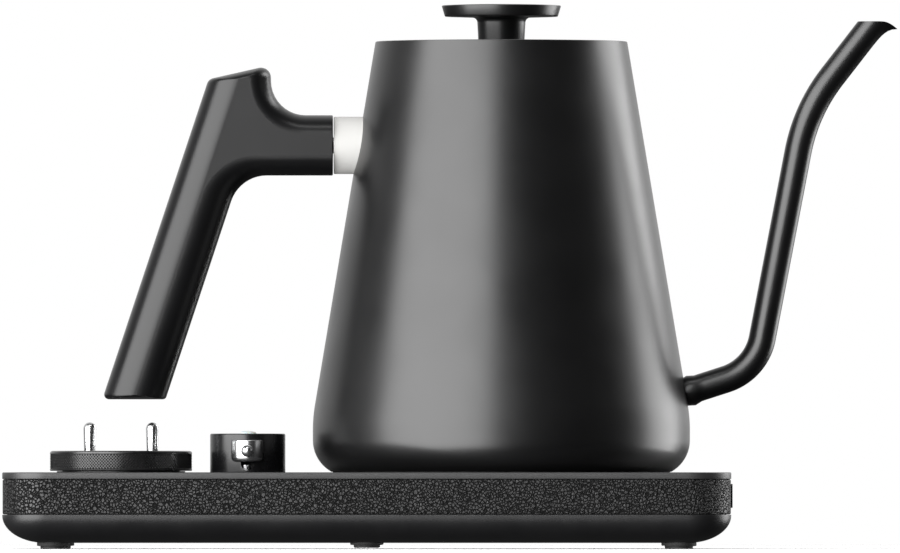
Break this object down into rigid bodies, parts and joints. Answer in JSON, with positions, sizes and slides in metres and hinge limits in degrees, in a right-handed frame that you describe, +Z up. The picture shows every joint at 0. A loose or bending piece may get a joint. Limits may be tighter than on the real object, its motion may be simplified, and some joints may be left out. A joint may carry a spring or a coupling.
{
  "type": "electric gooseneck kettle",
  "caption": "Satin black gooseneck pour-over kettle with lift-off lid, angled handle and swivel seat on a leather-banded mains base with knurled dial, toggles and thumb lever",
  "frame": {"origin": "under the middle of the whole object, on the surface that the base's feet stand on", "axes": "+Z up, +X along the base from the dial to the spout, -Y the front with the thumb lever"},
  "size_m": [0.3226, 0.15, 0.1969],
  "materials": {
    "black_coat": "satin black powder coat",
    "deck_paint": "satin charcoal paint",
    "knurled_metal": "black anodised knurl",
    "leather": "pebble grain, charcoal",
    "black_plastic": "satin black",
    "gloss_plastic": "gloss black",
    "handle_plastic": "semi-gloss black",
    "rubber": "matt black",
    "silicone": "milky silicone",
    "chrome": "polished",
    "steel": "brushed stainless",
    "satin_nickel": "pale satin nickel",
    "brass": "plain",
    "circuit_board": "solder mask",
    "ferrite": "matt grey",
    "dark_glass": "smoked clear lens"
  },
  "bodies": {
    "base": {"base_shell": "black_plastic", "leather_band": "leather", "deck_plate": "deck_paint", "foot_front_left": "rubber", "foot_front_middle": "rubber", "foot_front_right": "rubber", "foot_rear_left": "rubber", "foot_rear_middle": "rubber", "foot_rear_right": "rubber", "base_screw_1": "steel", "base_screw_2": "steel", "base_screw_3": "steel", "base_screw_4": "steel", "inlet_socket": "black_plastic", "inlet_pin_front": "brass", "inlet_pin_rear": "brass", "power_board": "circuit_board", "mains_transformer": "ferrite", "power_relay": "black_plastic", "smoothing_capacitor": "black_plastic", "control_board": "circuit_board", "rotary_encoder": "black_plastic", "dial_hub": "black_plastic", "dial_glide": "black_plastic", "dial_face": "black_coat", "display_window": "dark_glass", "display_module": "black_plastic", "toggle_bush_left": "steel", "toggle_bush_right": "steel", "switch_housing": "gloss_plastic", "status_lens": "silicone", "lever_switch": "black_plastic", "base_coupler": "black_plastic", "coupler_contact": "brass"},
    "dial": {"dial_ring": "knurled_metal"},
    "left_toggle": {"toggle_lever_left": "chrome"},
    "right_toggle": {"toggle_lever_right": "chrome"},
    "thumb_lever": {"power_lever": "chrome", "lever_carriage": "black_plastic"},
    "swivel": {"swivel_ring": "black_plastic"},
    "kettle": {"kettle_body": "black_coat", "heating_plate": "steel", "heating_element": "steel", "temperature_probe": "steel", "thermal_cutout": "black_plastic", "bottom_cover": "black_plastic", "kettle_coupler": "black_plastic", "spout": "black_coat", "handle": "handle_plastic", "handle_collar": "satin_nickel", "handle_bracket": "steel"},
    "lid": {"lid_plate": "black_coat", "lid_liner": "steel", "lid_seal": "silicone", "lid_knob": "black_coat"}
  },
  "joints": [
    {"name": "dial_turn", "type": "hinge", "parent": "base", "child": "dial", "pos_m": [-0.1194, 0, 0.0315], "axis": [0, 0, 1], "continuous": true},
    {"name": "left_toggle_rock", "type": "hinge", "parent": "base", "child": "left_toggle", "pos_m": [-0.1307, 0, 0.031], "axis": [1, 0, 0], "range_deg": [-12, 12], "stiffness_Nm_per_rad": 0.05},
    {"name": "right_toggle_rock", "type": "hinge", "parent": "base", "child": "right_toggle", "pos_m": [-0.1081, 0, 0.031], "axis": [1, 0, 0], "range_deg": [-12, 12], "stiffness_Nm_per_rad": 0.05},
    {"name": "thumb_lever_press", "type": "slide", "parent": "base", "child": "thumb_lever", "axis": [0, 0, -1], "range_m": [0, 0.003], "stiffness_N_per_m": 600},
    {"name": "kettle_swivel", "type": "hinge", "parent": "base", "child": "swivel", "pos_m": [0.01807, 0, 0.029], "axis": [0, 0, 1], "continuous": true},
    {"name": "kettle_lift", "type": "slide", "parent": "swivel", "child": "kettle", "axis": [0, 0, 1], "range_m": [0, 0.12]},
    {"name": "lid_lift", "type": "slide", "parent": "kettle", "child": "lid", "axis": [0, 0, 1], "range_m": [0, 0.08]}
  ]
}
